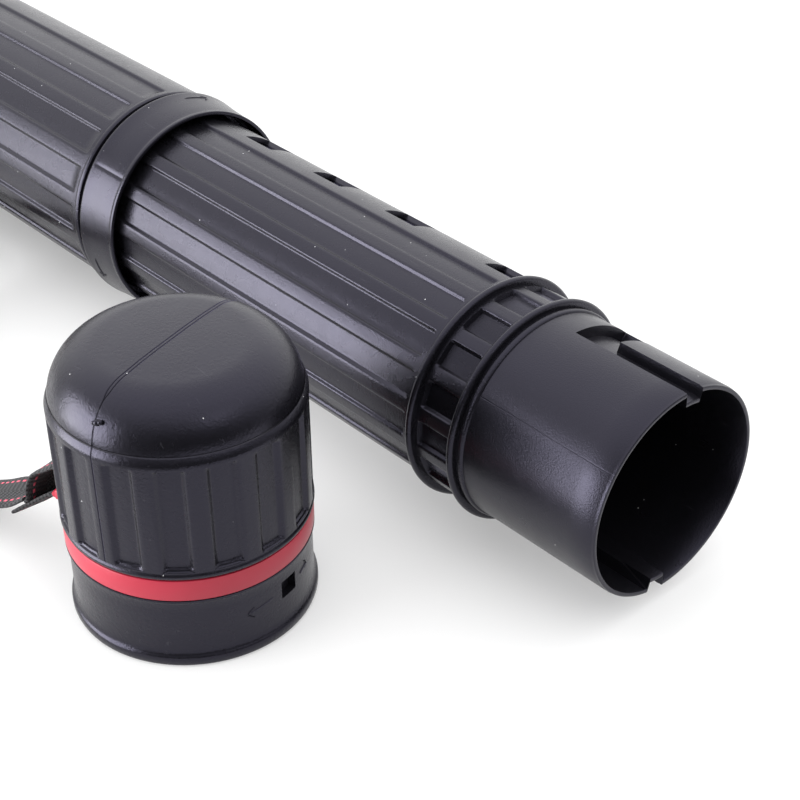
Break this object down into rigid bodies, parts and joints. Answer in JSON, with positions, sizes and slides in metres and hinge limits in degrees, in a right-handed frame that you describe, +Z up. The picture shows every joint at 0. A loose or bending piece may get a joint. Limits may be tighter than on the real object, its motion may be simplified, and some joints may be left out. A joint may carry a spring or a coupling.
{
  "type": "telescopic drawing tube",
  "caption": "Telescopic ribbed plastic tube for rolled drawings, with a twist lock collar, a bayonet cap taken off and a shoulder strap.",
  "frame": {"origin": "middle of the footprint of the hard parts, on the surface they lie on", "axes": "+X along the tube towards its open mouth, +Z up"},
  "size_m": [0.8026, 0.2289, 0.1112],
  "materials": {
    "black_plastic": "satin moulded black plastic",
    "red_plastic": "smooth red plastic",
    "webbing": "black woven webbing with two red stitch lines"
  },
  "bodies": {
    "tube": {"outer_tube": "black_plastic", "base_ring": "red_plastic", "strap_eye_base": "webbing", "strap_run_base": "webbing", "strap_slider": "black_plastic", "strap_run_cap": "webbing"},
    "collar": {"lock_collar": "black_plastic"},
    "slide": {"inner_tube": "black_plastic"},
    "cap": {"cap_shell": "black_plastic", "cap_ring": "red_plastic", "strap_eye_cap": "webbing"}
  },
  "joints": [
    {"name": "collar_twist", "type": "hinge", "parent": "tube", "child": "collar", "pos_m": [0.11865, 0.06062, 0.0495], "axis": [1, 0, 0], "range_deg": [0, 22]},
    {"name": "tube_slide", "type": "slide", "parent": "tube", "child": "slide", "axis": [1, 0, 0], "range_m": [-0.188, 0.2275]},
    {"name": "cap_lift", "type": "slide", "parent": "tube", "child": "cap", "axis": [0, 0, 1], "range_m": [0, 0.12]}
  ]
}
